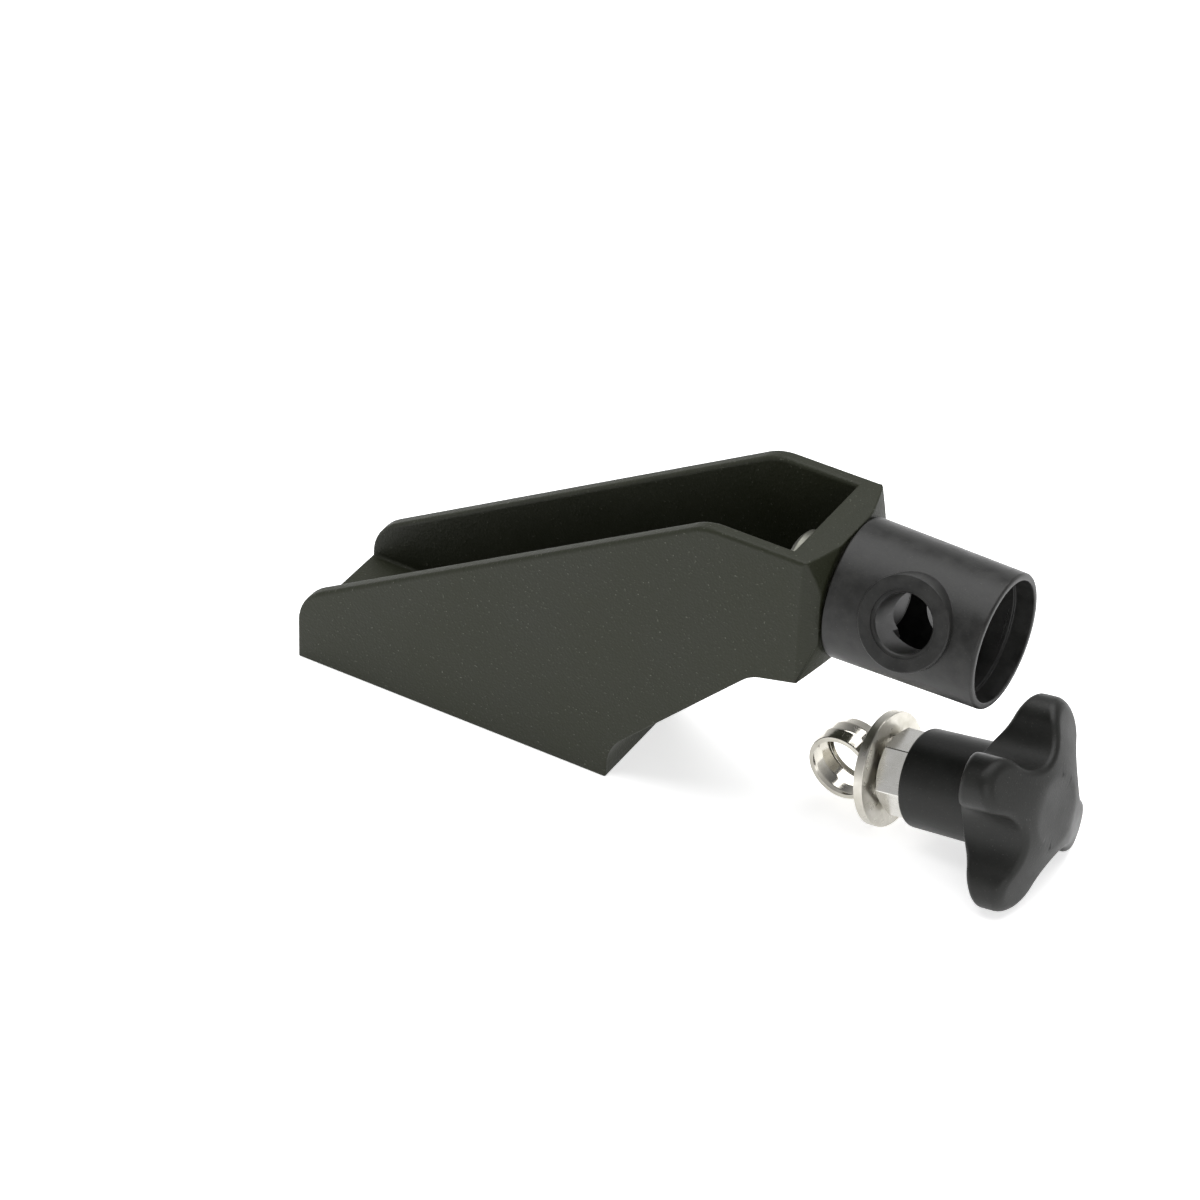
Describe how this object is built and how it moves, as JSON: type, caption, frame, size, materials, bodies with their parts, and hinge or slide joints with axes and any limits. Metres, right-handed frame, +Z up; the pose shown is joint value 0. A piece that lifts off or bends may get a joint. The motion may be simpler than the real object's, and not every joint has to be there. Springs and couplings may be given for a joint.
{
  "type": "swivel rod bracket",
  "caption": "Level-based channel bracket with a swivelling round rod socket, and a loose eyebolt clamp set with a lobed hand knob.",
  "frame": {"origin": "centre of the socket's open rim, on the swivel axis", "axes": "+X along the swivel axis and out of the socket's mouth, +Z up from the level base"},
  "size_m": [0.2046, 0.0467, 0.0878],
  "materials": {
    "bracket_nylon": "matt glass-filled moulding with a fine grain and a slight olive cast",
    "socket_nylon": "satin glass-filled moulding",
    "knob_nylon": "satin moulding with a fine grain",
    "zinc_steel": "bright zinc",
    "black_steel": "black zinc",
    "spring_steel": "plain spring steel",
    "natural_nylon": "natural nylon",
    "cap_nylon": "black nylon cap in the nut",
    "polished_steel": "polished stainless steel",
    "bright_hex": "bright drawn hexagon bar",
    "stamped_steel": "stamped and tumbled stainless steel"
  },
  "bodies": {
    "bracket": {"bracket_body": "bracket_nylon", "pivot_screw": "zinc_steel", "head_washer": "zinc_steel", "wave_washer": "spring_steel", "pivot_sleeve": "zinc_steel", "thrust_washer": "natural_nylon", "nut_washer": "zinc_steel", "pivot_nut": "black_steel", "nut_cap": "cap_nylon"},
    "socket": {"rod_socket": "socket_nylon"},
    "eye": {"eyebolt": "polished_steel"},
    "washer": {"clamp_washer": "stamped_steel"},
    "handknob": {"knob": "knob_nylon", "hex_insert": "bright_hex"}
  },
  "joints": [
    {"name": "socket_swivel", "type": "hinge", "parent": "bracket", "child": "socket", "pos_m": [-0.0396, 0, 0], "axis": [1, 0, 0], "continuous": true},
    {"name": "clamp_set_slide", "type": "slide", "parent": "bracket", "child": "eye", "axis": [0, -1, 0], "range_m": [0, 0.08]},
    {"name": "knob_travel", "type": "slide", "parent": "eye", "child": "washer", "axis": [0.9819, -0.0515, 0.1823], "range_m": [0, 0.014]},
    {"name": "knob_turn", "type": "hinge", "parent": "washer", "child": "handknob", "pos_m": [-0.0287, 0.0054, -0.05449], "axis": [0.9819, -0.0515, 0.1823], "range_deg": [0, 2880]}
  ],
  "couplings": [
    {"joint": "knob_turn", "follows": "knob_travel", "rad_per_m": 3590.4}
  ]
}
